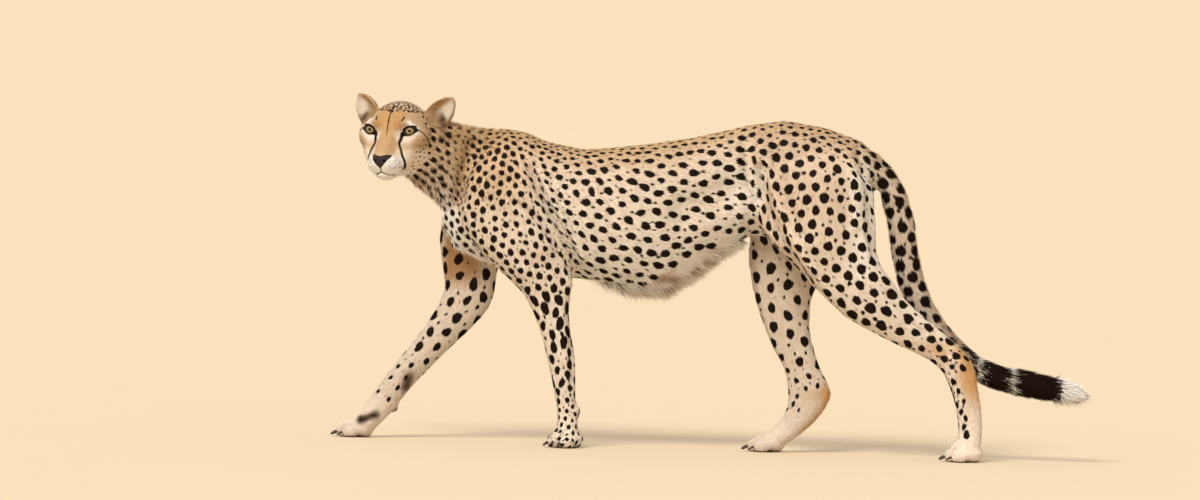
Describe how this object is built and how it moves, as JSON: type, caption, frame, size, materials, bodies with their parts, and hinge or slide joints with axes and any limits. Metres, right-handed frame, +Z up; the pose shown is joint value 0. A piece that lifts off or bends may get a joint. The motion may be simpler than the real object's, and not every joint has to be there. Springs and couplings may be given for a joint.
{
  "type": "cheetah",
  "caption": "Life-size cheetah in mid walk on four feet, head turned out to its left, tail hanging low behind it with a lifted, banded end.",
  "frame": {"origin": "on the floor, under the middle of the whole animal", "axes": "the animal walks towards -X, its left side faces -Y, +Z is up"},
  "size_m": [1.7348, 0.2668, 0.7952],
  "materials": {
    "coat": "short golden fur with near-black spots, cream below",
    "tail_tip": "longer fur in dark rings with a white end",
    "eye": "wet amber eye with a dark pupil",
    "claw": "dark horn, slightly worn"
  },
  "bodies": {
    "root": {"head": "coat", "eye_left": "eye", "eye_right": "eye", "ear_left": "coat", "ear_right": "coat", "neck": "coat", "chest": "coat", "belly": "coat", "rump": "coat", "tail_1": "coat", "tail_2": "coat", "tail_3": "coat", "tail_4": "tail_tip", "foreleg_left_upper": "coat", "foreleg_left_forearm": "coat", "foreleg_left_paw": "coat", "claw_foreleg_left_1": "claw", "claw_foreleg_left_2": "claw", "claw_foreleg_left_3": "claw", "claw_foreleg_left_4": "claw", "foreleg_right_upper": "coat", "foreleg_right_forearm": "coat", "foreleg_right_paw": "coat", "claw_foreleg_right_1": "claw", "claw_foreleg_right_2": "claw", "claw_foreleg_right_3": "claw", "claw_foreleg_right_4": "claw", "hindleg_left_thigh": "coat", "hindleg_left_shank": "coat", "hindleg_left_metatarsus": "coat", "hindleg_left_paw": "coat", "claw_hindleg_left_1": "claw", "claw_hindleg_left_2": "claw", "claw_hindleg_left_3": "claw", "claw_hindleg_left_4": "claw", "hindleg_right_thigh": "coat", "hindleg_right_shank": "coat", "hindleg_right_metatarsus": "coat", "hindleg_right_paw": "coat", "claw_hindleg_right_1": "claw", "claw_hindleg_right_2": "claw", "claw_hindleg_right_3": "claw", "claw_hindleg_right_4": "claw"}
  },
  "joints": []
}
